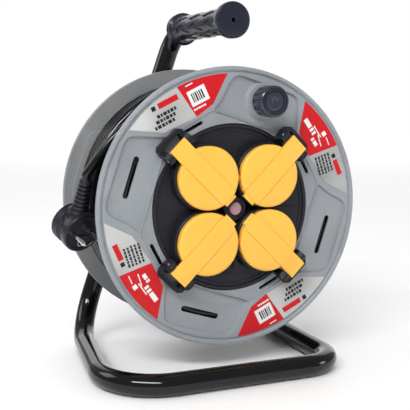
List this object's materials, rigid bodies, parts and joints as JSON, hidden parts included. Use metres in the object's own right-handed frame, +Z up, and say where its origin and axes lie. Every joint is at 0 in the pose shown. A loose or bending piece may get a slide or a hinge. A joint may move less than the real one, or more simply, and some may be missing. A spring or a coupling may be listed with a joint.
{
  "type": "extension cord reel",
  "caption": "Carried drum wound with mains cable, turning on a bent tube frame with a grip, with spring-lidded safety sockets, a reset button and a winding knob.",
  "frame": {"origin": "under the middle of the reel without its cable, on the floor", "axes": "+Z up, sockets facing -Y, drum axis along Y, handle above the drum and parallel to it"},
  "size_m": [0.2811, 0.226, 0.3415],
  "materials": {
    "tube_enamel": "gloss black enamel",
    "grip_rubber": "moulded satin rubber",
    "zinc_steel": "zinc plated",
    "drum_grey": "satin moulded",
    "panel_black": "satin moulded",
    "lid_yellow": "semi-gloss moulded",
    "seal_rubber": "matt",
    "reset_rose": "translucent",
    "contact_brass": "plain",
    "knob_black": "satin moulded",
    "cable_black": "smooth sheath",
    "plug_black": "moulded",
    "plug_nickel": "nickel plated",
    "label_foil": "printed foil, red and silver"
  },
  "bodies": {
    "frame": {"frame_tube": "tube_enamel", "frame_foot": "tube_enamel", "grip": "grip_rubber", "axle_bolt": "zinc_steel", "axle_nut": "zinc_steel", "axle_washer_front": "zinc_steel", "axle_washer_rear": "zinc_steel", "axle_spacer": "zinc_steel"},
    "drum": {"knob_stud": "zinc_steel", "front_flange": "drum_grey", "rear_flange": "drum_grey", "hub_core": "drum_grey", "socket_panel": "panel_black", "hub_bush": "panel_black", "thermal_cutout": "panel_black", "cord_clamp": "panel_black", "busbar_live": "contact_brass", "busbar_neutral": "contact_brass", "socket_insert_1": "panel_black", "earth_clip_1": "zinc_steel", "lid_spring_1": "zinc_steel", "hinge_pin_1": "zinc_steel", "hub_screw_1": "zinc_steel", "label_1": "label_foil", "socket_insert_2": "panel_black", "earth_clip_2": "zinc_steel", "lid_spring_2": "zinc_steel", "hinge_pin_2": "zinc_steel", "hub_screw_2": "zinc_steel", "label_2": "label_foil", "socket_insert_3": "panel_black", "earth_clip_3": "zinc_steel", "lid_spring_3": "zinc_steel", "hinge_pin_3": "zinc_steel", "hub_screw_3": "zinc_steel", "label_3": "label_foil", "socket_insert_4": "panel_black", "earth_clip_4": "zinc_steel", "lid_spring_4": "zinc_steel", "hinge_pin_4": "zinc_steel", "hub_screw_4": "zinc_steel", "label_4": "label_foil", "cable_winding": "cable_black", "cable_lead": "cable_black", "plug_body": "plug_black", "strain_relief": "plug_black", "plug_pin_left": "plug_nickel", "plug_pin_right": "plug_nickel", "plug_earth_socket": "plug_nickel"},
    "lid_1": {"lid_1": "lid_yellow", "lid_seal_1": "seal_rubber"},
    "lid_2": {"lid_2": "lid_yellow", "lid_seal_2": "seal_rubber"},
    "lid_3": {"lid_3": "lid_yellow", "lid_seal_3": "seal_rubber"},
    "lid_4": {"lid_4": "lid_yellow", "lid_seal_4": "seal_rubber"},
    "reset_button": {"reset_button": "reset_rose"},
    "knob": {"knob": "knob_black"}
  },
  "joints": [
    {"name": "drum_spin", "type": "hinge", "parent": "frame", "child": "drum", "pos_m": [0.00334, 0.007, 0.154], "axis": [0, 1, 0], "continuous": true},
    {"name": "lid_1_hinge", "type": "hinge", "parent": "drum", "child": "lid_1", "pos_m": [0.05993, -0.0675, 0.21059], "axis": [-0.7071, 0, 0.7071], "range_deg": [0, 105], "stiffness_Nm_per_rad": 0.03, "springref_deg": -34.38},
    {"name": "lid_2_hinge", "type": "hinge", "parent": "drum", "child": "lid_2", "pos_m": [-0.05324, -0.0675, 0.21059], "axis": [-0.7071, 0, -0.7071], "range_deg": [0, 105], "stiffness_Nm_per_rad": 0.03, "springref_deg": -34.38},
    {"name": "lid_3_hinge", "type": "hinge", "parent": "drum", "child": "lid_3", "pos_m": [-0.05324, -0.0675, 0.09741], "axis": [0.7071, 0, -0.7071], "range_deg": [0, 105], "stiffness_Nm_per_rad": 0.03, "springref_deg": -34.38},
    {"name": "lid_4_hinge", "type": "hinge", "parent": "drum", "child": "lid_4", "pos_m": [0.05993, -0.0675, 0.09741], "axis": [0.7071, 0, 0.7071], "range_deg": [0, 105], "stiffness_Nm_per_rad": 0.03, "springref_deg": -34.38},
    {"name": "reset_press", "type": "slide", "parent": "drum", "child": "reset_button", "axis": [0, 1, 0], "range_m": [0, 0.002], "stiffness_N_per_m": 400, "springref_m": -0.001},
    {"name": "knob_spin", "type": "hinge", "parent": "drum", "child": "knob", "pos_m": [0.03517, -0.067, 0.25196], "axis": [0, 1, 0], "continuous": true}
  ]
}
